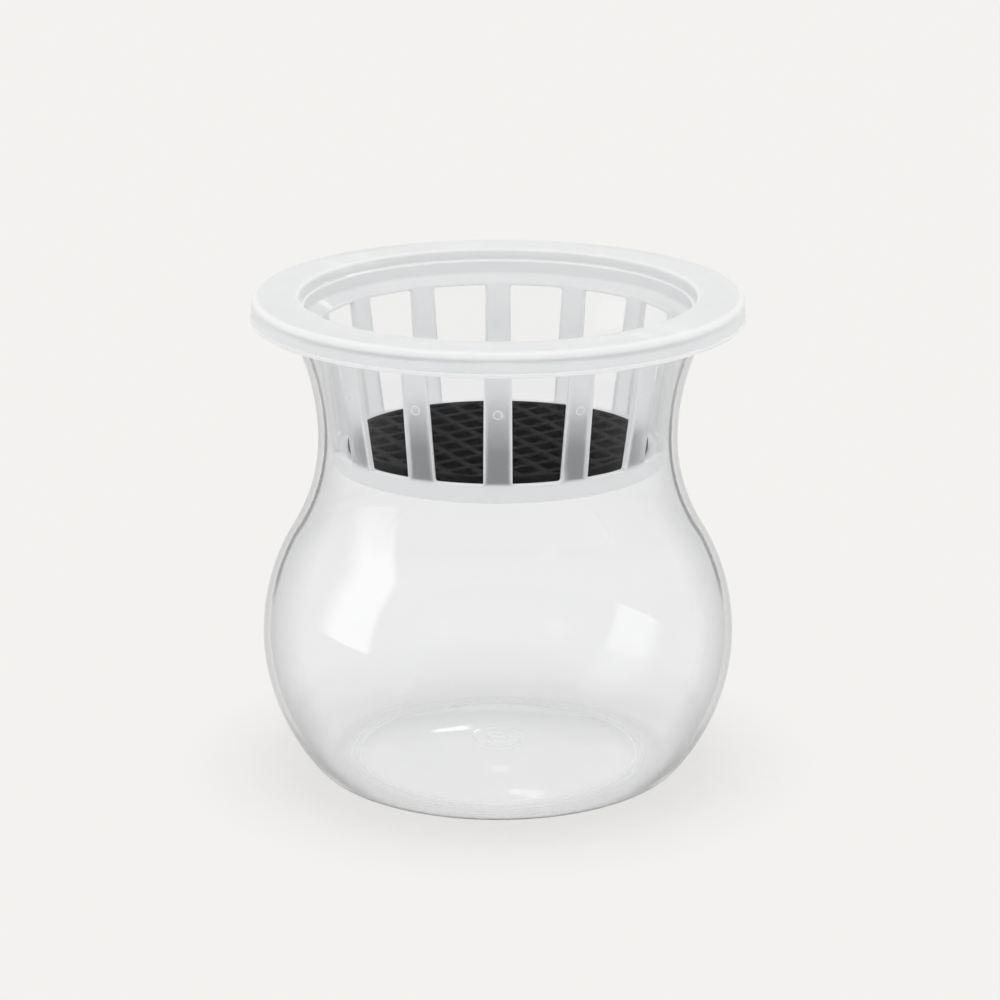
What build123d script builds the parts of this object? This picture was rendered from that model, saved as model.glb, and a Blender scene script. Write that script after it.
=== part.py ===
"""Hydroponic jar planter: a clear waisted jar, a net basket hung in its mouth, and a net pad in the basket.

Lengths are in millimetres. The origin is the centre of the jar's standing ring, with +Z up.
"""

import os
from math import asin, atan2, ceil, cos, degrees, pi, radians, sin, sqrt, tan

from build123d import *

# Overall size, over the basket's flange and from the table to the top of the flange
overall_diameter = 71.0
overall_height = 71.0

# Jar: one wall, blown from a waisted outline of tangent arcs
jar_wall = 1.0
belly_radius = 34.4
belly_height = 20.4
belly_arc_share = 0.52
neck_height = 18.7
neck_flare = 5.3
stand_radius = 24.3
stand_width = 3.5
foot_arc = 4.0
lip_width = 2.1
lip_thickness = 1.1
lip_round = 0.35
push_up = 2.0
base_wall = 1.5
gate_radius = 3.6
gate_recess = 0.3
gate_nub_radius = 1.3

# Net basket: flange with a turned-down skirt, stepped collar, tapered wall, slotted floor
flange_thickness = 1.2
flange_round = 0.9
skirt_height = 3.5
skirt_wall = 1.2
bead_height = 0.6
bead_proud = 0.2
lip_step_depth = 1.6
lip_step_width = 0.7
collar_depth = 3.6
collar_slope_depth = 0.9
lip_edge_round = 0.5
basket_wall = 1.0
basket_depth = 24.5
basket_taper = 8.2
floor_thickness = 2.1
bottom_round = 0.6

# Fourteen windows leave the ribs between them
rib_count = 14
window_sill = 2.9
window_head = 5.0
rib_foot_width = 4.0
rib_head_width = 3.8
window_round = 0.4
slot_inner_radius = 9.0
slot_rim_width = 3.65
spoke_width = 2.2
slot_round = 0.45

# Mesh pad: a flat diamond net with a plain rim
pad_thickness = 1.2
pad_rim = 1.2
net_pitch = 4.2
net_strand = 1.25
net_first_angle = -64.0
net_second_angle = 37.0
smallest_gap_share = 0.12

# Clearances between the pieces
neck_play = 0.25
mouth_play = 0.85
rim_play = 0.7
pad_play = 1.45

# Places that follow from the sizes above
flange_radius = overall_diameter / 2
rim_top = overall_height - flange_thickness
lip_bottom = rim_top - lip_thickness
skirt_outer = flange_radius - bead_proud
skirt_inner = skirt_outer - skirt_wall
skirt_bottom = overall_height - skirt_height
rim_radius = skirt_inner - rim_play
mouth_radius = rim_radius - lip_width
lip_radius = mouth_radius - jar_wall - mouth_play - basket_wall
waist_radius = mouth_radius - neck_flare
waist_height = lip_bottom - neck_height
push_up_radius = stand_radius - stand_width
basket_bottom = overall_height - basket_depth
floor_top = basket_bottom + floor_thickness


def tangent_radius(inward, along):
    """Radius of the arc that leaves a straight line and gains `inward` over the length `along`."""
    return (inward**2 + along**2) / (2 * inward)


# Radii and centres of the jar's arcs, as (radius from the axis, height)
neck_arc = tangent_radius(neck_flare, neck_height)
neck_centre = (waist_radius + neck_arc, waist_height)
arcs_together = tangent_radius(belly_radius - waist_radius, waist_height - belly_height)
belly_arc = arcs_together * belly_arc_share
shoulder_arc = arcs_together - belly_arc
shoulder_centre = (waist_radius + shoulder_arc, waist_height)
belly_centre = (belly_radius - belly_arc, belly_height)
heel_inward = belly_radius - stand_radius
heel_along = belly_height - foot_arc
heel_arc = (heel_inward**2 + heel_along**2 - foot_arc**2) / (2 * (heel_inward - foot_arc))
heel_centre = (belly_radius - heel_arc, belly_height)
foot_centre = (stand_radius, foot_arc)

shoulder_angle = atan2(waist_height - belly_height, shoulder_centre[0] - belly_centre[0])
foot_angle = atan2(belly_height - foot_arc, stand_radius - heel_centre[0])


def jar_outline(inset, neck_top):
    """Arcs of the jar's wall, moved in by `inset`, from the standing ring up to the height `neck_top`."""
    foot = degrees(foot_angle)
    shoulder = degrees(shoulder_angle)
    neck_radius = neck_arc + inset
    neck = degrees(asin((neck_top - waist_height) / neck_radius))
    CenterArc(foot_centre, foot_arc - inset, -90, 90 - foot)
    CenterArc(heel_centre, heel_arc - inset, -foot, foot)
    CenterArc(belly_centre, belly_arc - inset, 0, shoulder)
    CenterArc(shoulder_centre, shoulder_arc + inset, 180, shoulder)
    CenterArc(neck_centre, neck_radius, 180 - neck, neck)


def dome(height, rim_height):
    """Arc of the pushed-up base, from its centre down to the standing ring."""
    rise = height - rim_height
    radius = tangent_radius(rise, push_up_radius)
    CenterArc((0, height - radius), radius, 90, -degrees(asin(push_up_radius / radius)))


def neck_inside(height):
    """Inner radius of the jar's neck at a height above the waist."""
    radius = neck_arc + jar_wall
    return neck_centre[0] - sqrt(radius**2 - (height - waist_height) ** 2)


with BuildPart() as jar:
    with BuildSketch(Plane.XZ) as jar_section:
        with BuildLine():
            dome(push_up, 0)
            Line((push_up_radius, 0), (stand_radius, 0))
            jar_outline(0, lip_bottom)
            Polyline(
                (mouth_radius, lip_bottom),
                (rim_radius, lip_bottom),
                (rim_radius, rim_top),
                (neck_inside(rim_top), rim_top),
            )
            jar_outline(jar_wall, rim_top)
            Line((stand_radius, jar_wall), (push_up_radius, jar_wall))
            dome(push_up + base_wall, jar_wall)
            Line((0, push_up + base_wall), (0, push_up))
        make_face()
        fillet(jar_section.vertices().group_by(Axis.Y)[-1], lip_round)
    revolve(axis=Axis.Z)
    # Moulding gate under the base: a shallow round recess with a nub in it
    with BuildSketch():
        Circle(gate_radius)
        Circle(gate_nub_radius, mode=Mode.SUBTRACT)
    extrude(amount=push_up + gate_recess, mode=Mode.SUBTRACT)
jar.part.label = "jar"

# The basket's wall is a cone that passes the narrowest part of the neck with the play left free
slope = tan(radians(basket_taper))
wall_at_waist = neck_centre[0] - (neck_arc + jar_wall + neck_play) / cos(radians(basket_taper))


def wall_outside(height):
    """Outer radius of the basket's tapered wall at a height."""
    return wall_at_waist + slope * (height - waist_height)


def wall_inside(height):
    """Inner radius of the basket's tapered wall at a height."""
    return wall_outside(height) - basket_wall


collar_inner = lip_radius - lip_step_width
collar_bottom = overall_height - collar_depth
collar_foot = collar_bottom - collar_slope_depth
collar_outer = collar_inner + basket_wall
step_bottom = overall_height - lip_step_depth
sill_height = basket_bottom + window_sill
head_height = overall_height - window_head
rib_spacing = 2 * sin(pi / rib_count)
window_bottom_width = wall_outside(sill_height) * rib_spacing - rib_foot_width
window_top_width = wall_outside(head_height) * rib_spacing - rib_head_width

with BuildPart() as net_basket:
    with BuildSketch(Plane.XZ) as basket_section:
        with BuildLine():
            Polyline(
                (0, basket_bottom),
                (wall_outside(basket_bottom), basket_bottom),
                (wall_outside(collar_foot), collar_foot),
                (collar_outer, collar_bottom),
                (collar_outer, rim_top),
                (skirt_inner, rim_top),
                (skirt_inner, skirt_bottom),
                (flange_radius, skirt_bottom),
                (flange_radius, skirt_bottom + bead_height),
                (skirt_outer, skirt_bottom + bead_height),
                (skirt_outer, overall_height),
                (lip_radius, overall_height),
                (lip_radius, step_bottom),
                (collar_inner, step_bottom),
                (collar_inner, collar_bottom),
                (wall_inside(collar_foot), collar_foot),
                (wall_inside(floor_top), floor_top),
                (0, floor_top),
                close=True,
            )
        make_face()
        corner = basket_section.vertices().sort_by_distance
        fillet(corner((skirt_outer, overall_height))[0], flange_round)
        fillet(corner((lip_radius, overall_height))[0], lip_edge_round)
        fillet(corner((wall_outside(basket_bottom), basket_bottom))[0], bottom_round)
    revolve(axis=Axis.Z)

    # Windows, wider at the top, cut outwards from the axis between each two ribs
    window_turns = [360 / rib_count * (index + 0.5) - 90 for index in range(rib_count)]
    window_planes = [
        Plane(
            origin=(0, 0, 0),
            x_dir=(-sin(radians(turn)), cos(radians(turn)), 0),
            z_dir=(cos(radians(turn)), sin(radians(turn)), 0),
        )
        for turn in window_turns
    ]
    with BuildSketch(*window_planes) as windows:
        with BuildLine():
            Polyline(
                (-window_bottom_width / 2, sill_height),
                (window_bottom_width / 2, sill_height),
                (window_top_width / 2, head_height),
                (-window_top_width / 2, head_height),
                close=True,
            )
        make_face()
        fillet(windows.vertices(), window_round)
    extrude(amount=skirt_inner, mode=Mode.SUBTRACT)

    # Radial slots in the floor, one under each window, with spokes of even width between them
    slot_outer_radius = wall_inside(floor_top) - slot_rim_width
    slot_length = slot_outer_radius - slot_inner_radius
    slot_outer_width = slot_outer_radius * rib_spacing - spoke_width
    slot_inner_width = slot_inner_radius * rib_spacing - spoke_width
    slot_side_angle = degrees(atan2(slot_length, (slot_outer_width - slot_inner_width) / 2))
    with BuildSketch(Plane.XY.offset(basket_bottom)) as slots:
        middle = (slot_inner_radius + slot_outer_radius) / 2
        with PolarLocations(middle, rib_count, start_angle=window_turns[0]):
            Trapezoid(slot_outer_width, slot_length, slot_side_angle, rotation=90)
        fillet(slots.vertices(), slot_round)
    extrude(amount=floor_thickness, mode=Mode.SUBTRACT)
net_basket.part.label = "net_basket"

# The two families of strands cross at the difference of their angles
crossing = sin(radians(net_second_angle - net_first_angle))
gap_share = 1 - net_strand / (net_pitch * crossing)
first_step = Vector(net_pitch, 0).rotate(Axis.Z, net_first_angle)
second_step = Vector(net_pitch, 0).rotate(Axis.Z, net_second_angle)
first_half = first_step * (gap_share / 2)
second_half = second_step * (gap_share / 2)
pad_radius = wall_inside(floor_top) - pad_play
gap_radius = pad_radius - pad_rim
reach = ceil(2 * pad_radius / net_pitch)
gap_centres = [
    first_step * first + second_step * second
    for first in range(-reach, reach + 1)
    for second in range(-reach, reach + 1)
]

with BuildPart() as mesh_pad:
    with BuildSketch(mode=Mode.PRIVATE) as gaps:
        with Locations(*[centre for centre in gap_centres if centre.length < pad_radius]):
            Polygon(
                first_half + second_half,
                first_half - second_half,
                -first_half - second_half,
                -first_half + second_half,
            )
        Circle(gap_radius, mode=Mode.INTERSECT)
    full_gap = (net_pitch * gap_share) ** 2 * crossing
    open_gaps = [gap for gap in gaps.sketch.faces() if gap.area > full_gap * smallest_gap_share]
    with BuildSketch(Plane.XY.offset(floor_top)):
        Circle(pad_radius)
        add(open_gaps, mode=Mode.SUBTRACT)
    extrude(amount=pad_thickness)
mesh_pad.part.label = "mesh_pad"

os.makedirs("parts", exist_ok=True)
export_step(jar.part, "parts/jar.step")
export_step(net_basket.part, "parts/net_basket.step")
export_step(mesh_pad.part, "parts/mesh_pad.step")
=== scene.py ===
"""Dresses the hydroponic jar planter: a clear blown jar, a milky net basket and a black net pad.

Sizes are in millimetres, as in the part's source. The meshes that they make are in metres.
"""

from math import asin, atan2, ceil, cos, degrees, hypot, pi, radians, sin, sqrt, tan

import bmesh
import bpy
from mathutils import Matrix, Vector


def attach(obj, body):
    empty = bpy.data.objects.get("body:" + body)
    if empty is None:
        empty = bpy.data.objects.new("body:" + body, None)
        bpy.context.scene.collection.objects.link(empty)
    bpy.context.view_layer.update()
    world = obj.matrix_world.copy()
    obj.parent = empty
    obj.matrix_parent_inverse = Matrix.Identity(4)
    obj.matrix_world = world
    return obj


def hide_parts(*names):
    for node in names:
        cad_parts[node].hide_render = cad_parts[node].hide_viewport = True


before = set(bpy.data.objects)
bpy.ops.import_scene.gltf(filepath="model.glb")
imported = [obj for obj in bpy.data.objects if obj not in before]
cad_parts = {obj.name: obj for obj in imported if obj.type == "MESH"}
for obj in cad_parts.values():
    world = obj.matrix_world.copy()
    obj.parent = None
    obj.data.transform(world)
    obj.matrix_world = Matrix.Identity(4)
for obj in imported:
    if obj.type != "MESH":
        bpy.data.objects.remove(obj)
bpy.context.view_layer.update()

MM = 0.001

# Overall size
overall_radius = 35.5
overall_height = 71.0

# Jar
jar_wall = 1.0
belly_radius = 34.4
belly_height = 20.4
belly_arc_share = 0.52
waist_radius = 26.0
waist_height = 50.0
stand_radius = 24.3
push_up_radius = 20.8
foot_arc = 4.0
rim_top = 69.8
lip_bottom = 68.7
mouth_radius = 31.3
rim_radius = 33.4
rim_depth = 1.0
lip_rounds = {1: 0.3, 2: 0.4, 3: 0.4}
push_up = 2.0
base_wall = 1.5
base_middle = 1.0
gate_radius = 4.5
gate_rings = (1.4, 3.4)
gate_ring_reach = 0.5
gate_ring_rise = 0.035

# Basket
skirt_outer = 35.3
skirt_inner = 34.1
skirt_bottom = 67.5
bead_height = 0.6
lip_radius = 28.45
step_bottom = 69.4
collar_inner = 27.75
collar_bottom = 67.4
collar_foot = 66.5
basket_wall = 1.0
basket_bottom = 46.5
floor_top = 48.6
basket_taper = 8.2
neck_play = 0.25
foot_round = 0.6
floor_round = 0.4

# Ribs, windows and slots of the basket
rib_count = 14
sill_height = 49.4
head_height = 66.0
window_bottom_width = 6.81
window_top_width = 8.07
window_round = 0.4
below_sill = 0.4
above_head = 0.35
slot_inner_radius = 9.0
slot_outer_radius = 19.5
spoke_width = 2.2
slot_round = 0.45
inside_slots = 0.7
outside_slots = 1.1
hole_edge_round = 0.16
mark_height = 60.0
mark_radius = 0.6
mark_proud = 0.09

# Pad
pad_radius = 21.7
pad_thickness = 1.2
pad_rim = 1.2
pad_edge = 0.18
net_pitch = 4.2
net_strand = 1.25
net_first_angle = -64.0
net_second_angle = 37.0
smallest_gap_share = 0.12

# Hair gap between faces that touch, so that light crosses each of them
seam = 0.02

# Steps of the meshes, and the angle in degrees up to which two faces are shaded as one
jar_sides = 288
gate_steps = 18
rib_steps_across = 20
rib_steps_up = 26
corner_steps = 4
edge_steps = 4
panel_shares = (0, 0.35, 0.7, 1)
mark_sides = 28
mark_steps = 5
clip_sides = 120
pad_sides = 180
smooth_below = 38


# Outlines


def arc(centre, radius, start, sweep, steps):
    """Points of an arc, as (radius from the axis, height). Angles are in degrees."""
    return [
        (
            centre[0] + radius * cos(radians(start + sweep * i / steps)),
            centre[1] + radius * sin(radians(start + sweep * i / steps)),
        )
        for i in range(steps + 1)
    ]


def rounded(points, radii, steps=5):
    """The outline through the points, with a fillet where radii names the point's index."""
    out = []
    count = len(points)
    for index, point in enumerate(points):
        radius = radii.get(index, 0)
        if not radius:
            out.append(point)
            continue
        here = Vector(point)
        back = (Vector(points[(index - 1) % count]) - here).normalized()
        on = (Vector(points[(index + 1) % count]) - here).normalized()
        half = back.angle(on) / 2
        centre = here + (back + on).normalized() * (radius / sin(half))
        first = here + back * (radius / tan(half)) - centre
        last = here + on * (radius / tan(half)) - centre
        for step in range(steps + 1):
            turn = first.lerp(last, step / steps).normalized() * radius
            out.append(tuple(centre + turn))
    return out


def tangent_radius(inward, along):
    """Radius of the arc that leaves a straight line and gains `inward` over the length `along`."""
    return (inward**2 + along**2) / (2 * inward)


neck_arc = tangent_radius(mouth_radius - waist_radius, lip_bottom - waist_height)
neck_centre = (waist_radius + neck_arc, waist_height)
arcs_together = tangent_radius(belly_radius - waist_radius, waist_height - belly_height)
belly_arc = arcs_together * belly_arc_share
shoulder_arc = arcs_together - belly_arc
shoulder_centre = (waist_radius + shoulder_arc, waist_height)
belly_centre = (belly_radius - belly_arc, belly_height)
heel_inward = belly_radius - stand_radius
heel_along = belly_height - foot_arc
heel_arc = (heel_inward**2 + heel_along**2 - foot_arc**2) / (2 * (heel_inward - foot_arc))
heel_centre = (belly_radius - heel_arc, belly_height)
shoulder_angle = degrees(atan2(waist_height - belly_height, shoulder_centre[0] - belly_centre[0]))
foot_angle = degrees(atan2(heel_along, stand_radius - heel_centre[0]))


def jar_outline(inset, neck_top):
    """The jar's wall, moved in by `inset`, from the standing ring up to the height `neck_top`."""
    neck_radius = neck_arc + inset
    neck = degrees(asin((neck_top - waist_height) / neck_radius))
    points = arc((stand_radius, foot_arc), foot_arc - inset, -90, 90 - foot_angle, 10)
    points += arc(heel_centre, heel_arc - inset, -foot_angle, foot_angle, 24)[1:]
    points += arc(belly_centre, belly_arc - inset, 0, shoulder_angle, 26)[1:]
    points += arc(shoulder_centre, shoulder_arc + inset, 180 + shoulder_angle, -shoulder_angle, 26)[1:]
    points += arc(neck_centre, neck_radius, 180, -neck, 30)[1:]
    return points


def dome(height, rim_height, from_radius, steps=16):
    """Points of the pushed-up base, from a radius out to the standing ring."""
    radius = tangent_radius(height - rim_height, push_up_radius)
    reach = [from_radius + (push_up_radius - from_radius) * i / steps for i in range(steps + 1)]
    return [(r, height - radius + sqrt(radius**2 - r**2)) for r in reach]


# Meshes


def turns(count, start=0.0):
    """Even angles all round the axis."""
    return [start + 2 * pi * i / count for i in range(count)]


def turned(mesh, profile, angles):
    """Faces of a profile of (radius, height) points turned about the axis."""
    rings = []
    for radius, height in profile:
        if radius < 1e-6:
            rings.append([mesh.verts.new((0, 0, height * MM))])
        else:
            places = [(radius * MM * cos(a), radius * MM * sin(a), height * MM) for a in angles]
            rings.append([mesh.verts.new(place) for place in places])
    for low, high in zip(rings, rings[1:]):
        for i in range(len(angles)):
            j = (i + 1) % len(angles)
            corners = [low[i % len(low)], low[j % len(low)], high[j % len(high)], high[i % len(high)]]
            corners = list(dict.fromkeys(corners))
            if len(corners) > 2:
                mesh.faces.new(corners)


def finished(name, mesh, body, node, material):
    """Makes the object of a bmesh, which stands for a node and rides on its body."""
    bmesh.ops.remove_doubles(mesh, verts=mesh.verts, dist=1e-7)
    bmesh.ops.recalc_face_normals(mesh, faces=mesh.faces)
    data = bpy.data.meshes.new(name)
    mesh.to_mesh(data)
    mesh.free()
    data.materials.append(material)
    data.polygons.foreach_set("use_smooth", [True] * len(data.polygons))
    data.set_sharp_from_angle(angle=radians(smooth_below))
    piece = bpy.data.objects.new(name, data)
    bpy.context.scene.collection.objects.link(piece)
    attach(piece, body)
    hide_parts(node)


# Materials


class Shader:
    """A Principled material with a few procedural textures in object coordinates."""

    def __init__(self, name, **values):
        self.material = bpy.data.materials.new(name)
        self.material.use_nodes = True
        self.nodes = self.material.node_tree.nodes
        self.links = self.material.node_tree.links
        self.main = self.nodes["Principled BSDF"]
        self.surface = self.main.outputs[0]
        for socket, value in values.items():
            self.main.inputs[socket.replace("_", " ")].default_value = value
        self.place = self.nodes.new("ShaderNodeTexCoord").outputs["Object"]
        self.path = self.nodes.new("ShaderNodeLightPath").outputs

    def noise(self, scale, detail=3.0):
        """A noise value; scale is in features per metre."""
        node = self.nodes.new("ShaderNodeTexNoise")
        node.inputs["Scale"].default_value = scale
        node.inputs["Detail"].default_value = detail
        self.links.new(self.place, node.inputs["Vector"])
        return node.outputs["Fac"]

    def spread(self, value, low, high, to_low, to_high):
        """The value's range from low to high, spread from to_low to to_high."""
        node = self.nodes.new("ShaderNodeMapRange")
        names = ("From Min", "From Max", "To Min", "To Max")
        for name, number in zip(names, (low, high, to_low, to_high)):
            node.inputs[name].default_value = number
        self.links.new(value, node.inputs["Value"])
        return node.outputs["Result"]

    def colours(self, value, *stops):
        """Colour that follows the value through stops of (value, colour)."""
        node = self.nodes.new("ShaderNodeValToRGB")
        elements = node.color_ramp.elements
        while len(elements) < len(stops):
            elements.new(1.0)
        for element, (place, colour) in zip(elements, stops):
            element.position = place
            element.color = (*colour, 1)
        self.links.new(value, node.inputs["Fac"])
        return node.outputs["Color"]

    def greys(self, value, *stops):
        """Grey that follows the value through stops of (value, level)."""
        return self.colours(value, *[(place, (level,) * 3) for place, level in stops])

    def mottled(self, value, dark, light):
        """Colour that goes from dark to light over the middle range of a noise."""
        return self.colours(value, (0.3, dark), (0.7, light))

    def mixed(self, value, one, two):
        """Colour one where the value is 0 and colour two where it is 1."""
        node = self.nodes.new("ShaderNodeMix")
        node.data_type = "RGBA"
        self.links.new(value, node.inputs["Factor"])
        self.links.new(one, node.inputs["A"])
        self.links.new(two, node.inputs["B"])
        return node.outputs["Result"]

    def math(self, operation, *values):
        """Result of a sum, whose values are sockets or numbers."""
        node = self.nodes.new("ShaderNodeMath")
        node.operation = operation
        for socket, value in zip(node.inputs, values):
            if isinstance(value, bpy.types.NodeSocket):
                self.links.new(value, socket)
            else:
                socket.default_value = value
        return node.outputs[0]

    def vector_math(self, operation, one, two=None):
        """Node of a sum of vectors, whose second value is a socket or a vector."""
        node = self.nodes.new("ShaderNodeVectorMath")
        node.operation = operation
        self.links.new(one, node.inputs[0])
        if isinstance(two, bpy.types.NodeSocket):
            self.links.new(two, node.inputs[1])
        elif two:
            node.inputs[1].default_value = two
        return node.outputs

    def slant(self):
        """0 where the surface is met squarely, 1 where it is met edge on."""
        node = self.nodes.new("ShaderNodeLayerWeight")
        node.inputs["Blend"].default_value = 0.5
        return node.outputs["Facing"]

    def geometry(self, output):
        """A value of the surface's geometry, by its name."""
        return self.nodes.new("ShaderNodeNewGeometry").outputs[output]

    def upright_part(self, vector):
        """The vector's share along the part's axis."""
        split = self.nodes.new("ShaderNodeSeparateXYZ")
        self.links.new(vector, split.inputs[0])
        return split.outputs[2]

    def out_from_axis(self):
        """The level vector from the part's axis to the point, in metres."""
        return self.vector_math("MULTIPLY", self.place, (1, 1, 0))[0]

    def from_axis(self):
        """Distance from the part's axis, in metres."""
        return self.vector_math("LENGTH", self.out_from_axis())["Value"]

    def inner_side(self):
        """1 on surfaces that face the part's axis."""
        facing = self.vector_math("DOT_PRODUCT", self.geometry("Normal"), self.out_from_axis())
        return self.math("LESS_THAN", facing["Value"], 0.0)

    def upwards(self):
        """1 on surfaces that face up, 0 on upright ones."""
        return self.spread(self.upright_part(self.geometry("Normal")), 0.3, 0.95, 0.0, 1.0)

    def height(self, low, high, to_low=0.0, to_high=1.0):
        """Spread of the height over the table, whose limits are in millimetres."""
        return self.spread(self.upright_part(self.place), low * MM, high * MM, to_low, to_high)

    def ring(self, radius, width):
        """1 on a thin ring about the axis, 0 elsewhere; lengths are in millimetres."""
        off = self.math("ABSOLUTE", self.math("SUBTRACT", self.from_axis(), radius * MM))
        return self.spread(off, width / 2 * MM, width * MM, 1.0, 0.0)

    def bump(self, height, distance):
        """Relief of the height value; distance is in millimetres."""
        node = self.nodes.new("ShaderNodeBump")
        node.inputs["Distance"].default_value = distance * MM
        self.links.new(height, node.inputs["Height"])
        self.links.new(node.outputs["Normal"], self.main.inputs["Normal"])

    def drive(self, socket, value):
        """Links the value to a socket of the Principled shader."""
        self.links.new(value, self.main.inputs[socket])

    def crossed(self, share, one, two):
        """Surface one where the share is 0 and surface two where it is 1."""
        node = self.nodes.new("ShaderNodeMixShader")
        for socket, value in zip(node.inputs, (share, one, two)):
            self.links.new(value, socket)
        return node.outputs[0]

    def shade(self, share, colour):
        """Mixes a plain matt colour in by the share."""
        matt = self.nodes.new("ShaderNodeBsdfDiffuse")
        matt.inputs["Color"].default_value = (*colour, 1)
        self.surface = self.crossed(share, self.surface, matt.outputs[0])

    def shows(self, surface):
        """Makes the surface the one that the material shows."""
        self.links.new(surface, self.nodes["Material Output"].inputs["Surface"])

    def lets_lamps_through(self, middle, rim):
        """Light on its way to a lit surface passes straight on, dimmer where it meets a wall aslant."""
        either = self.math("MAXIMUM", self.path["Is Shadow Ray"], self.path["Is Diffuse Ray"])
        passing = self.nodes.new("ShaderNodeBsdfTransparent")
        self.links.new(self.greys(self.slant(), (0.35, middle), (1.0, rim)), passing.inputs["Color"])
        self.shows(self.crossed(either, self.surface, passing.outputs[0]))


def clear_plastic():
    """Clear and glossy, with painted grey shade in its walls where they are met aslant and painted highlight
    rings in its base.
    """
    shader = Shader("clear_plastic", Transmission_Weight=1.0, IOR=1.5, Roughness=0.0)
    shader.drive("Base Color", shader.mottled(shader.noise(60), (0.958, 0.963, 0.973), (0.968, 0.972, 0.982)))
    low_gloss, high_gloss = shader.height(2, 8, 0.3, 1.0), shader.height(38, 46, 1.0, 0.12)
    shader.drive("Specular Tint", shader.math("MULTIPLY", low_gloss, high_gloss))
    shader.bump(shader.noise(60, 1.0), 0.01)
    inner_side = shader.inner_side()
    upwards = shader.upwards()

    # The inside of the heel is slightly dull from the blow mould, apart from the base
    dull = shader.math("MULTIPLY", shader.height(1.4, 2.4), shader.height(7, 10, 0.27, 0.0))
    dull = shader.math("MULTIPLY", dull, inner_side)
    shader.drive("Roughness", shader.math("MULTIPLY", dull, shader.math("SUBTRACT", 1.0, upwards)))

    # Painted shade in the wall's two sides where they are met aslant, from the foot up; the base has less of
    # it
    slant = shader.slant()
    above_belly = shader.height(26, 30)
    outer = shader.greys(slant, (0.45, 0), (0.75, 0.24), (0.86, 0.34), (1.0, 0.06))
    heel = shader.greys(slant, (0.4, 0), (0.62, 0.12), (0.78, 0.5), (0.88, 0.2), (1.0, 0.6))
    outside_painted_shade = shader.mixed(shader.height(3, 8), heel, outer)
    line = shader.greys(slant, (0.45, 0), (0.65, 0.08), (0.85, 0.13), (0.9, 0.9))
    foot = shader.greys(slant, (0.45, 0), (0.7, 0.1), (1.0, 0.3))
    inside = shader.mixed(above_belly, foot, line)
    base = shader.math("MULTIPLY", upwards, shader.height(3.6, 4.5, 0.6, 0.0))
    walls = shader.math("SUBTRACT", 1.0, base)
    dark = shader.math("MULTIPLY", shader.mixed(inner_side, outside_painted_shade, inside), walls)
    # The dark matt colour mixed in here is painted shade, not a tint of the plastic
    shader.shade(dark, (0.22, 0.23, 0.245))

    # Painted dark line at the inner edge of the wall, met from within the wall where it starts to mirror
    painted_brink_line = shader.greys(slant, (0.2465, 0), (0.2505, 0.8), (0.2555, 0.8), (0.2578, 0))
    within = shader.math("MAXIMUM", shader.math("SUBTRACT", shader.geometry("Backfacing"), inner_side), 0.0)
    reach = shader.math("MULTIPLY", above_belly, shader.height(52, 60, 1.0, 0.4))
    within = shader.math("MULTIPLY", within, reach)
    shader.shade(shader.math("MULTIPLY", within, painted_brink_line), (0.16, 0.17, 0.18))

    # Painted highlight rings in the base: over the moulding gate and along the edge of the push-up
    inner_gate, outer_gate = gate_rings
    rings = shader.math("ADD", shader.ring(outer_gate, 0.2), shader.ring(inner_gate, 0.14))
    for radius, width, share in ((20.6, 0.3, 0.7), (21.9, 0.2, 0.45)):
        ring = shader.math("MULTIPLY", shader.ring(radius, width), share)
        rings = shader.math("ADD", rings, ring)
    low_painted_highlight_rings = shader.math("MULTIPLY", rings, shader.height(3.6, 4.2, 0.5, 0.0))
    shader.shade(low_painted_highlight_rings, (0.98, 0.98, 0.98))
    shader.lets_lamps_through(0.99, 0.85)
    return shader.material


def milky_plastic():
    """Milky and softly glossy: clearer in the thin ribs, with a painted highlight along the edges and painted
    shade on the faces that look up.
    """
    shader = Shader("milky_plastic", IOR=1.3, Roughness=0.3, Specular_Tint=(0.6, 0.6, 0.6, 1))
    speckle = shader.noise(220)
    side = shader.mottled(speckle, (0.94, 0.96, 0.975), (0.965, 0.98, 0.99))
    # Faces that look up get a greyer colour: painted shade against the strong light from above
    top_with_painted_shade = shader.mottled(speckle, (0.85, 0.856, 0.862), (0.872, 0.877, 0.882))
    # The rounded edges get a whiter colour and less clearness: a painted highlight along them
    painted_edge_highlight = shader.mottled(speckle, (0.98, 0.98, 0.98), (0.99, 0.99, 0.99))
    edges = shader.spread(shader.geometry("Pointiness"), 0.505, 0.53, 0.0, 1.0)
    milky_and_painted_top_shade = shader.mixed(shader.upwards(), side, top_with_painted_shade)
    shader.drive("Base Color", shader.mixed(edges, milky_and_painted_top_shade, painted_edge_highlight))
    thin = shader.height(48.8, 49.6, 0.03, 0.83)
    for low, high, share in ((54, 60, 0.2), (66, 67.2, 0.1)):
        thin = shader.math("SUBTRACT", thin, shader.height(low, high, 0.0, share))
    clear = shader.math("MULTIPLY", thin, shader.spread(edges, 0.0, 1.0, 1.0, 0.1))
    shader.drive("Transmission Weight", clear)
    shader.drive("Roughness", shader.spread(shader.noise(500), 0.3, 0.7, 0.285, 0.32))
    shader.lets_lamps_through(0.97, 0.9)
    return shader.material


def black_net():
    """Nearly matt black with a fine grain."""
    shader = Shader("black_net", Roughness=0.5, IOR=1.45, Specular_IOR_Level=0.012)
    shader.drive("Base Color", shader.mottled(shader.noise(900), (0.004, 0.004, 0.005), (0.01, 0.01, 0.011)))
    shader.drive("Roughness", shader.spread(shader.noise(1500), 0.3, 0.7, 0.38, 0.55))
    shader.bump(shader.noise(3500, 2.0), 0.02)
    return shader.material


# Jar

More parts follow.
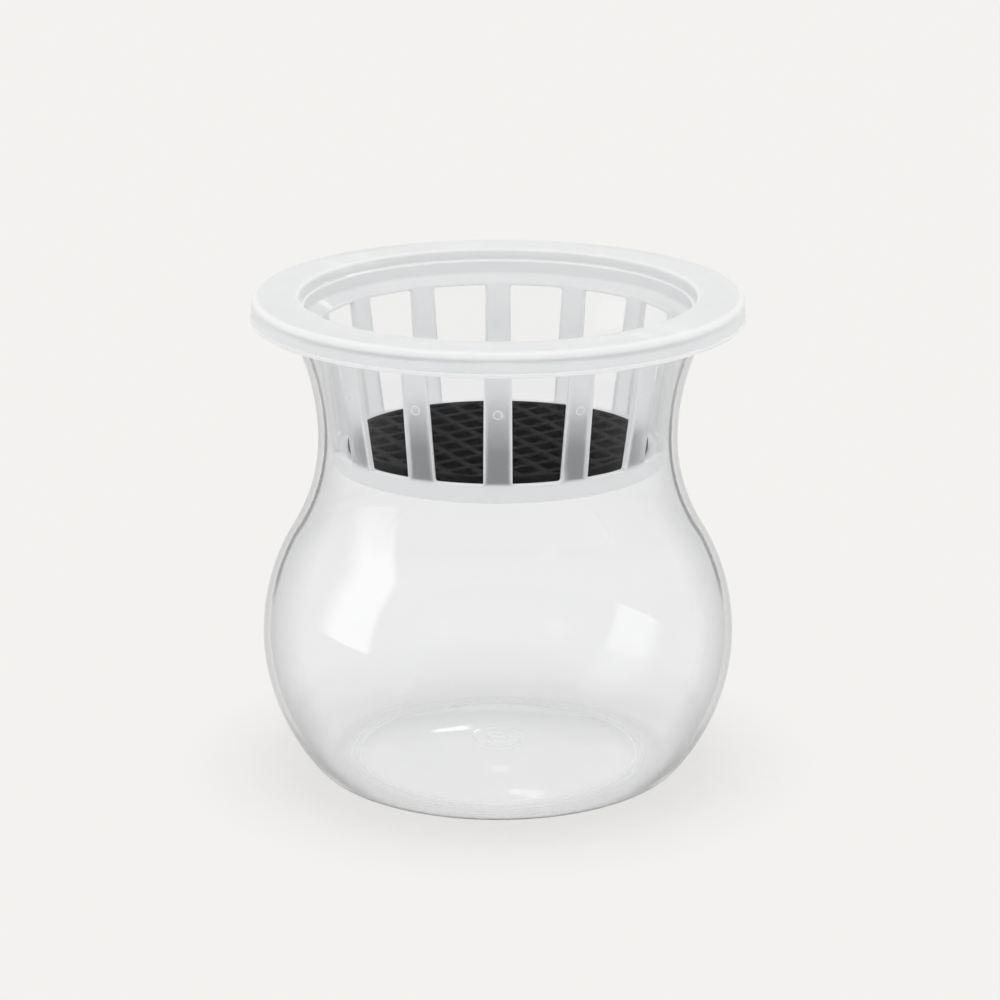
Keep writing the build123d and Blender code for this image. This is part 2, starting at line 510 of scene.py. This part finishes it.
base_top = push_up + base_wall
base_arc = tangent_radius(base_top - jar_wall, push_up_radius)
jar_profile = [(0, push_up)] + dome(push_up, 0, base_middle)
jar_profile += jar_outline(0, lip_bottom)
lip = [
    jar_profile[-1],
    (rim_radius, lip_bottom),
    (rim_radius, rim_top - seam),
    jar_outline(jar_wall, rim_top - seam)[-1],
    jar_outline(jar_wall, rim_top - rim_depth)[-1],
]
jar_profile += rounded(lip, lip_rounds)[1:-1]
jar_profile += reversed(jar_outline(jar_wall, rim_top - rim_depth))
jar_profile += reversed(dome(base_top, jar_wall, gate_radius)[1:])
for step in range(gate_steps, -1, -1):
    radius = gate_radius * step / gate_steps
    off = min(abs(radius - gate_ring) for gate_ring in gate_rings)
    rise = gate_ring_rise * max(0, 1 - off / gate_ring_reach)
    jar_profile.append((radius, base_top - radius**2 / (2 * base_arc) + rise))

jar = bmesh.new()
turned(jar, jar_profile, turns(jar_sides))
finished("jar_blown", jar, "jar_body", "jar", clear_plastic())

# Basket

slope = tan(radians(basket_taper))
wall_at_waist = neck_centre[0] - (neck_arc + jar_wall + neck_play) / cos(radians(basket_taper))
sector = 2 * pi / rib_count


def wall_outside(height):
    """Outer radius of the basket's tapered wall at a height."""
    return wall_at_waist + slope * (height - waist_height)


def hole_outline(corners, round_radius, grow):
    """Rounded four-sided outline grown by `grow`, starting in the middle of the first corner's arc.

    Its sides have the same numbers of steps as the panel around it.
    """
    sides = (rib_steps_across, rib_steps_up, rib_steps_across, rib_steps_up)
    arcs = []
    for index in range(4):
        here = Vector(corners[index])
        back = (Vector(corners[index - 1]) - here).normalized()
        on = (Vector(corners[(index + 1) % 4]) - here).normalized()
        half = back.angle(on) / 2
        centre = here + (back + on).normalized() * (round_radius / sin(half))
        first = (here + back * (round_radius / tan(half)) - centre).normalized()
        last = (here + on * (round_radius / tan(half)) - centre).normalized()
        turn = first.angle(last)
        points = []
        for step in range(2 * corner_steps + 1):
            share = step / (2 * corner_steps)
            direction = (first * sin((1 - share) * turn) + last * sin(share * turn)) / sin(turn)
            points.append(centre + direction * (round_radius + grow))
        arcs.append(points)
    outline = []
    for index in range(4):
        leave, arrive = arcs[index], arcs[(index + 1) % 4]
        straight = sides[index] - 2 * corner_steps
        outline += leave[corner_steps:]
        outline += [leave[-1].lerp(arrive[0], i / straight) for i in range(1, straight)]
        outline += arrive[:corner_steps]
    return outline


def frame_outline(low, high):
    """Corner and side points of one sector, as (angle, way along the panel)."""
    half, across, up = sector / 2, rib_steps_across, rib_steps_up
    points = [(-half + sector * i / across, low) for i in range(across)]
    points += [(half, low + (high - low) * i / up) for i in range(up)]
    points += [(half - sector * i / across, high) for i in range(across)]
    points += [(-half, high - (high - low) * i / up) for i in range(up)]
    return points


def panel(mesh, corners, round_radius, low, high, thickness, turn, polar, place):
    """One sector of a wall or floor, with a rounded hole whose edges are rounded too.

    polar(x, v, depth) gives the angle and the way along the panel of a point of the flat outline,
    and place(angle, v, depth) gives the point in space.
    """
    rings = []

    def ring(points):
        rings.append([mesh.verts.new(Vector(place(turn + a, v, depth)) * MM) for a, v, depth in points])

    def hole_points(grow, depth):
        return [(*polar(p[0], p[1], depth), depth) for p in hole_outline(corners, round_radius, grow)]

    def face(depth, shares):
        outer = [(angle, along, depth) for angle, along in frame_outline(low, high)]
        near = hole_points(hole_edge_round, depth)
        for share in shares:
            ring([tuple(s + (e - s) * share for s, e in zip(p, q)) for p, q in zip(outer, near)])

    leans = [pi / 2 * step / edge_steps for step in range(1, edge_steps + 1)]
    face(0, panel_shares)
    for lean in leans:
        ring(hole_points(hole_edge_round * (1 - sin(lean)), hole_edge_round * (1 - cos(lean))))
    for lean in reversed(leans):
        inset = hole_edge_round * (1 - cos(lean))
        ring(hole_points(hole_edge_round * (1 - sin(lean)), thickness - inset))
    face(thickness, reversed(panel_shares))
    for one, two in zip(rings, rings[1:]):
        for i in range(len(one)):
            j = (i + 1) % len(one)
            mesh.faces.new([one[i], one[j], two[j], two[i]])


def wall_polar(x, height, depth):
    """Angle and height of a window's point on the wall, at a depth under its outer face."""
    return asin(x / (wall_outside(height) - depth)), height


def wall_place(angle, height, depth):
    """Point of the wall at an angle and a height, at a depth under its outer face."""
    radius = wall_outside(height) - depth
    return radius * cos(angle), radius * sin(angle), height


def floor_polar(x, reach, depth):
    """Angle and radius of a slot's point, which are the same at every depth of the floor."""
    return atan2(x, reach), hypot(x, reach)


def floor_place(angle, reach, depth):
    """Point of the floor at an angle and a radius, at a depth over its underside."""
    return reach * cos(angle), reach * sin(angle), basket_bottom + depth


def mark(mesh, turn):
    """Half-round ring that stands proud of a rib's outer face."""
    rings = []
    for i in range(mark_sides):
        around = 2 * pi * i / mark_sides
        ring = []
        for j in range(mark_steps + 1):
            lean = pi * j / mark_steps
            reach = mark_radius + mark_proud * cos(lean)
            height = mark_height + reach * sin(around)
            angle = turn + asin(reach * cos(around) / wall_outside(height))
            ring.append(mesh.verts.new(Vector(wall_place(angle, height, -mark_proud * sin(lean))) * MM))
        rings.append(ring)
    for one, two in zip(rings, rings[1:] + rings[:1]):
        for j in range(mark_steps):
            mesh.faces.new([one[j], one[j + 1], two[j + 1], two[j]])


window = [
    (-window_bottom_width / 2, sill_height),
    (window_bottom_width / 2, sill_height),
    (window_top_width / 2, head_height),
    (-window_top_width / 2, head_height),
]
slot_inner = slot_inner_radius * sin(sector / 2) - spoke_width / 2
slot_outer = slot_outer_radius * sin(sector / 2) - spoke_width / 2
slot = [
    (-slot_inner, slot_inner_radius),
    (slot_inner, slot_inner_radius),
    (slot_outer, slot_outer_radius),
    (-slot_outer, slot_outer_radius),
]
panel_low, panel_high = sill_height - below_sill, head_height + above_head
floor_low, floor_high = slot_inner_radius - inside_slots, slot_outer_radius + outside_slots
floor_thickness = floor_top - basket_bottom

basket = bmesh.new()
rib_turns = [-pi / 2 + sector * index for index in range(rib_count)]
for rib_turn in rib_turns:
    turn = rib_turn + sector / 2
    panel(basket, window, window_round, panel_low, panel_high, basket_wall, turn, wall_polar, wall_place)
    panel(basket, slot, slot_round, floor_low, floor_high, floor_thickness, turn, floor_polar, floor_place)
for rib_turn in rib_turns:
    mark(basket, rib_turn)

# The head's corners are numbered in the order of its profile
basket_turns = turns(rib_count * rib_steps_across, -pi / 2)
collar_outer = collar_inner + basket_wall
head_profile = [
    (wall_outside(panel_high), panel_high),
    (wall_outside(collar_foot), collar_foot),
    (collar_outer, collar_bottom),
    (collar_outer, rim_top),
    (skirt_inner, rim_top),
    (skirt_inner, skirt_bottom),
    (overall_radius, skirt_bottom),
    (overall_radius, skirt_bottom + bead_height),
    (skirt_outer, skirt_bottom + bead_height),
    (skirt_outer, overall_height),
    (lip_radius, overall_height),
    (lip_radius, step_bottom),
    (collar_inner, step_bottom),
    (collar_inner, collar_bottom),
    (wall_outside(collar_foot) - basket_wall, collar_foot),
    (wall_outside(panel_high) - basket_wall, panel_high),
]
outer_rounds = {1: 0.3, 2: 0.3, 3: 0.25, 4: 0.3, 5: 0.15, 6: 0.25, 7: 0.15, 8: 0.1}
inner_rounds = {9: 0.9, 10: 0.5, 11: 0.2, 12: 0.3, 13: 0.3, 14: 0.3}
turned(basket, rounded(head_profile, outer_rounds | inner_rounds), basket_turns)
foot_profile = [
    (wall_outside(panel_low), panel_low),
    (wall_outside(basket_bottom), basket_bottom),
    (floor_high, basket_bottom),
]
turned(basket, rounded(foot_profile, {1: foot_round}), basket_turns)
inner_profile = [
    (wall_outside(panel_low) - basket_wall, panel_low),
    (wall_outside(floor_top) - basket_wall, floor_top),
    (floor_high, floor_top),
]
turned(basket, rounded(inner_profile, {1: floor_round}), basket_turns)
for level in (basket_bottom, floor_top):
    turned(basket, [(floor_low, level), (0, level)], basket_turns)
finished("basket_moulding", basket, "basket_body", "net_basket", milky_plastic())

# Pad


def clipped(points, radius):
    """The convex outline cut by a circle about the origin, which is a polygon of many sides."""
    for angle in turns(clip_sides):
        normal = Vector((cos(angle), sin(angle)))
        out = []
        for index, point in enumerate(points):
            after = points[(index + 1) % len(points)]
            here, there = normal.dot(point) - radius, normal.dot(after) - radius
            if here <= 0:
                out.append(point)
            if here * there < 0:
                out.append(point.lerp(after, here / (here - there)))
        points = out
        if len(points) < 3:
            return []
    return points


def area(points):
    """Area of an outline, below zero if it runs clockwise."""
    return sum(p.cross(q) for p, q in zip(points, points[1:] + points[:1])) / 2


def heading(angle):
    """Unit vector at an angle in degrees."""
    return Vector((cos(radians(angle)), sin(radians(angle))))


def add_loop(curve, points):
    """Adds a closed loop of straight lines to the curve."""
    spline = curve.splines.new("POLY")
    spline.points.add(len(points) - 1)
    spline.points.foreach_set("co", [c for p in points for c in (p[0] * MM, p[1] * MM, 0, 1)])
    spline.use_cyclic_u = True


def net_gaps():
    """Outlines of the net's gaps inside the rim, without the slivers."""
    crossing = sin(radians(net_second_angle - net_first_angle))
    gap_share = 1 - net_strand / (net_pitch * crossing)
    first_step = heading(net_first_angle) * net_pitch
    second_step = heading(net_second_angle) * net_pitch
    a, b = first_step * gap_share / 2, second_step * gap_share / 2
    full_gap = (net_pitch * gap_share) ** 2 * crossing
    reach = ceil(2 * pad_radius / net_pitch)
    gaps = []
    for first in range(-reach, reach + 1):
        for second in range(-reach, reach + 1):
            centre = first_step * first + second_step * second
            if centre.length > pad_radius:
                continue
            corners = [centre + a + b, centre - a + b, centre - a - b, centre + a - b]
            if area(corners) < 0:
                corners.reverse()
            gap = clipped(corners, pad_radius - pad_rim)
            if len(gap) > 2 and area(gap) > full_gap * smallest_gap_share:
                gaps.append(gap)
    return gaps


outline = bpy.data.curves.new("net_outline", "CURVE")
outline.dimensions = "2D"
outline.fill_mode = "BOTH"
outline.extrude = (pad_thickness / 2 - pad_edge) * MM
outline.bevel_depth = pad_edge * MM
outline.bevel_resolution = 2
outline.offset = -pad_edge * MM
add_loop(outline, [(pad_radius * cos(a), pad_radius * sin(a)) for a in turns(pad_sides)])
for gap in net_gaps():
    add_loop(outline, list(reversed(gap)))
carrier = bpy.data.objects.new("net_outline", outline)
bpy.context.scene.collection.objects.link(carrier)
evaluated = carrier.evaluated_get(bpy.context.evaluated_depsgraph_get())
flat_mesh = bpy.data.meshes.new_from_object(evaluated)
bpy.data.objects.remove(carrier)
pad = bmesh.new()
pad.from_mesh(flat_mesh)
bmesh.ops.translate(pad, verts=pad.verts, vec=(0, 0, (floor_top + seam + pad_thickness / 2) * MM))
bmesh.ops.remove_doubles(pad, verts=pad.verts, dist=1e-6)
finished("pad_net", pad, "pad_body", "mesh_pad", black_net())

# Floor

floor_sides = 96
floor_radii = (0, 60, 400, 4000)
floor_drop = 0.04
floor_colour = (0.896, 0.888, 0.871, 1)


def floor_material():
    """Pale and matt. It shows its plain colour, apart from the shade round the part's foot."""
    shader = Shader("studio_floor", Roughness=0.9, Specular_IOR_Level=0.0)
    grain = shader.mottled(shader.noise(300, 4.0), (0.889, 0.881, 0.864), (0.903, 0.895, 0.878))
    shader.drive("Base Color", grain)
    seen = shader.math("MAXIMUM", shader.path["Is Camera Ray"], shader.path["Is Glossy Ray"])
    seen = shader.math("MAXIMUM", seen, shader.path["Is Transmission Ray"])
    plain = shader.nodes.new("ShaderNodeEmission")
    plain.inputs["Color"].default_value = floor_colour
    plain.inputs["Strength"].default_value = 1.0
    away = shader.spread(shader.from_axis(), 0, 50 * MM, 0.0, 1.0)
    share = shader.greys(away, (0.0, 0.8), (0.36, 0.8), (0.48, 0.3), (0.62, 0.18), (0.95, 0.95))
    share = shader.math("MULTIPLY", seen, share)
    shader.shows(shader.crossed(share, shader.surface, plain.outputs[0]))
    return shader.material


floor = bmesh.new()
turned(floor, [(radius, 0) for radius in floor_radii], turns(floor_sides))
bmesh.ops.translate(floor, verts=floor.verts, vec=(0, 0, -floor_drop * MM))
floor_mesh = bpy.data.meshes.new("studio_floor")
floor.to_mesh(floor_mesh)
floor.free()
floor_mesh.materials.append(floor_material())
floor_object = bpy.data.objects.new("studio_floor", floor_mesh)
bpy.context.scene.collection.objects.link(floor_object)

# Light

world = bpy.data.worlds.new("studio")
bpy.context.scene.world = world
world.use_nodes = True
sky = world.node_tree
sky.nodes.clear()


def sky_node(kind, operation=None, *values):
    """First output of a new node, whose values are sockets, numbers or None."""
    node = sky.nodes.new(kind)
    if operation:
        node.operation = operation
    for socket, value in zip(node.inputs, values):
        if isinstance(value, bpy.types.NodeSocket):
            sky.links.new(value, socket)
        elif value is not None:
            socket.default_value = value
    return node.outputs[0]


def sky_math(operation, *values):
    """Result of a sum, whose values are sockets or numbers."""
    return sky_node("ShaderNodeMath", operation, *values)


def ramp(value, low, high, to_low=0.0, to_high=1.0):
    """Smooth change from to_low to to_high as the value goes from low to high."""
    node = sky.nodes.new("ShaderNodeMapRange")
    node.interpolation_type = "SMOOTHSTEP"
    names = ("From Min", "From Max", "To Min", "To Max")
    for name, number in zip(names, (low, high, to_low, to_high)):
        node.inputs[name].default_value = number
    sky.links.new(value, node.inputs["Value"])
    return node.outputs["Result"]


def box_light(forward, side, side_low, side_high, low, high, soft, power, fade=None):
    """A soft rectangle of light, seen in the plane one unit along `forward`.

    Its edges are `soft` wide to each side, and the one at side_high is `fade` wide where that is given.
    """
    fade = fade or soft
    ahead = sky_math("MAXIMUM", forward, 0.001)
    sideways = sky_math("DIVIDE", side, ahead)
    upright = sky_math("DIVIDE", height, ahead)
    mask = ramp(forward, 0.01, 0.05)
    for value, place, edge, to_low, to_high in (
        (sideways, side_low, soft, 0, 1),
        (sideways, side_high, fade, 1, 0),
        (upright, low, soft, 0, 1),
        (upright, high, soft, 1, 0),
    ):
        mask = sky_math("MULTIPLY", mask, ramp(value, place - edge, place + edge, to_low, to_high))
    return sky_math("MULTIPLY", mask, power)


direction = sky.nodes.new("ShaderNodeTexCoord").outputs["Generated"]
split = sky.nodes.new("ShaderNodeSeparateXYZ")
sky.links.new(direction, split.inputs[0])
east, north, height = split.outputs
west = sky_math("MULTIPLY", east, -1.0)
south = sky_math("MULTIPLY", north, -1.0)
rays = sky.nodes.new("ShaderNodeLightPath").outputs

# The sky lights the part from above, and reflections see a plainer room with a window in the west
lamps = ramp(height, 0.0, 1.0, 0.52, 1.21)
room = ramp(height, -0.1, 0.6, 0.82, 1.0)
total = sky_node("ShaderNodeMix", None, rays["Is Glossy Ray"], None, lamps, room)
window_light = box_light(west, north, -0.47, 0.05, -0.3, 1.6, 0.05, 1.5, 0.16)
total = sky_math("ADD", total, sky_math("MULTIPLY", window_light, rays["Is Glossy Ray"]))

# Small bright cards that show only in perfectly smooth surfaces
for card in (
    box_light(south, east, 0.52, 0.7, 0.42, 0.56, 0.1, 0.5),
    box_light(north, east, -0.1, -0.05, 0.02, 0.06, 0.01, 2.0),
    box_light(north, east, -0.1, -0.045, 0.2, 0.3, 0.012, 2.0),
    box_light(north, east, 0.035, 0.15, 1.02, 1.2, 0.012, 2.5),
    box_light(north, east, -0.02, 0.03, 0.72, 0.8, 0.012, 1.0),
    box_light(east, north, -0.4, 0.0, 1.0, 1.25, 0.04, 1.6),
    box_light(south, east, 0.9, 1.7, 1.9, 2.5, 0.05, 8.0),
):
    total = sky_math("ADD", total, sky_math("MULTIPLY", card, rays["Is Singular Ray"]))
background = sky.nodes.new("ShaderNodeBackground")
background.inputs["Color"].default_value = (1.0, 1.0, 1.0, 1)
sky.links.new(total, background.inputs["Strength"])
output = sky.nodes.new("ShaderNodeOutputWorld")
sky.links.new(background.outputs[0], output.inputs["Surface"])

# Camera: its place, its tilt below the level in degrees, and its focal length in pixels of the picture

picture_width = 1000
focal_pixels = 3585
sensor_width = 36
camera_place = (0.29, -500, 189.5)
look_down = 16.65

camera_data = bpy.data.cameras.new("camera")
camera_data.sensor_width = sensor_width
camera_data.lens = focal_pixels * sensor_width / picture_width
camera_data.clip_start = 0.01
camera_data.clip_end = 20
camera = bpy.data.objects.new("camera", camera_data)
camera.location = [length * MM for length in camera_place]
camera.rotation_euler = (radians(90 - look_down), 0, 0)
bpy.context.scene.collection.objects.link(camera)
bpy.context.scene.camera = camera
bpy.context.scene.view_settings.view_transform = "Standard"

# Clear walls one behind another need many bounces
paths = bpy.context.scene.cycles
paths.max_bounces = paths.transmission_bounces = paths.transparent_max_bounces = 24
paths.glossy_bounces = 8
paths.sample_clamp_indirect = 6.0
